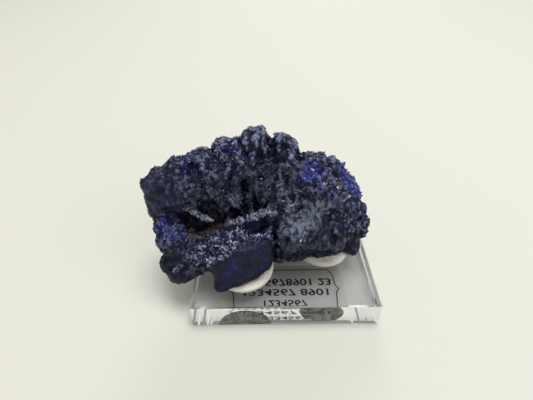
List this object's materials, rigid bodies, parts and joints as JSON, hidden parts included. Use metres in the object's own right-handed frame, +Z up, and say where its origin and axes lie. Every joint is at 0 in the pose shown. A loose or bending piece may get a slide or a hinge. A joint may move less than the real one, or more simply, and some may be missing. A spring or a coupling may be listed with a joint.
{
  "type": "azurite specimen",
  "caption": "Drusy azurite cluster held by dabs of white putty on a clear acrylic display block, with a numbered clear film label under the block.",
  "frame": {"origin": "centre of the underside of the acrylic block", "axes": "+Z up, square to the block's underside; +X to the right and -Y towards the viewer at the label side"},
  "size_m": [0.0625, 0.0508, 0.0464],
  "materials": {
    "azurite": "satin",
    "clear_acrylic": "polished",
    "white_putty": "matte",
    "clear_film": "gloss"
  },
  "bodies": {
    "root": {"azurite_cluster": "azurite", "acrylic_block": "clear_acrylic", "putty_left": "white_putty", "putty_right": "white_putty", "label_film": "clear_film"}
  },
  "joints": []
}
